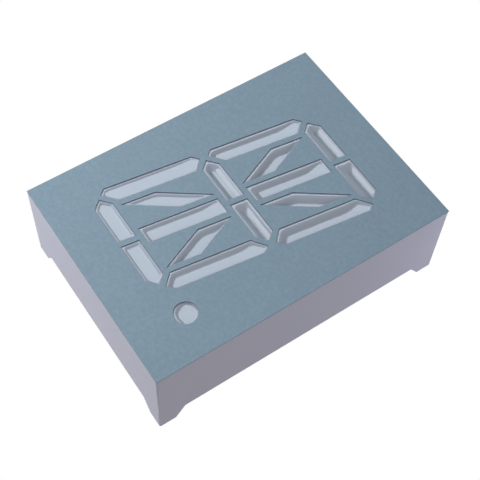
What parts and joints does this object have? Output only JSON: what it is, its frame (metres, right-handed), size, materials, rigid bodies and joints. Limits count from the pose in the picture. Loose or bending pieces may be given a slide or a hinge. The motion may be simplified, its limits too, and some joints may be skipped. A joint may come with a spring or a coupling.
{
  "type": "sixteen-segment led display",
  "caption": "Single slanted alphanumeric LED digit with a decimal point: grey face, white housing on corner feet, through-hole pins in two rows.",
  "frame": {"origin": "centre of the pin grid, on the plane that the feet stand on", "axes": "+X to the character's right, +Y up the character, +Z out of its face"},
  "size_m": [0.02, 0.0276, 0.0125],
  "materials": {
    "white_plastic": "white moulded plastic, slightly glossy",
    "grey_film": "satin grey face film",
    "milky_epoxy": "milky diffusing epoxy, glossy",
    "board_laminate": "green solder mask over glass laminate",
    "gold_plate": "gold-plated copper",
    "chip_crystal": "sawn semiconductor crystal",
    "gold_wire": "fine gold wire",
    "tinned_pin": "tinned"
  },
  "bodies": {
    "root": {"board_pads": "gold_plate", "bond_wire_a1": "gold_wire", "bond_wire_a2": "gold_wire", "bond_wire_b": "gold_wire", "bond_wire_c": "gold_wire", "bond_wire_d1": "gold_wire", "bond_wire_d2": "gold_wire", "bond_wire_dp": "gold_wire", "bond_wire_e": "gold_wire", "bond_wire_f": "gold_wire", "bond_wire_g1": "gold_wire", "bond_wire_g2": "gold_wire", "bond_wire_h": "gold_wire", "bond_wire_i": "gold_wire", "bond_wire_j": "gold_wire", "bond_wire_k": "gold_wire", "bond_wire_l": "gold_wire", "bond_wire_m": "gold_wire", "circuit_board": "board_laminate", "epoxy_casting": "milky_epoxy", "face_film": "grey_film", "led_chip_a1": "chip_crystal", "led_chip_a2": "chip_crystal", "led_chip_b": "chip_crystal", "led_chip_c": "chip_crystal", "led_chip_d1": "chip_crystal", "led_chip_d2": "chip_crystal", "led_chip_dp": "chip_crystal", "led_chip_e": "chip_crystal", "led_chip_f": "chip_crystal", "led_chip_g1": "chip_crystal", "led_chip_g2": "chip_crystal", "led_chip_h": "chip_crystal", "led_chip_i": "chip_crystal", "led_chip_j": "chip_crystal", "led_chip_k": "chip_crystal", "led_chip_l": "chip_crystal", "led_chip_m": "chip_crystal", "pin_01": "tinned_pin", "pin_02": "tinned_pin", "pin_03": "tinned_pin", "pin_04": "tinned_pin", "pin_05": "tinned_pin", "pin_06": "tinned_pin", "pin_07": "tinned_pin", "pin_08": "tinned_pin", "pin_09": "tinned_pin", "pin_10": "tinned_pin", "pin_11": "tinned_pin", "pin_12": "tinned_pin", "pin_13": "tinned_pin", "pin_14": "tinned_pin", "pin_15": "tinned_pin", "pin_16": "tinned_pin", "pin_17": "tinned_pin", "pin_18": "tinned_pin", "reflector_housing": "white_plastic"}
  },
  "joints": []
}
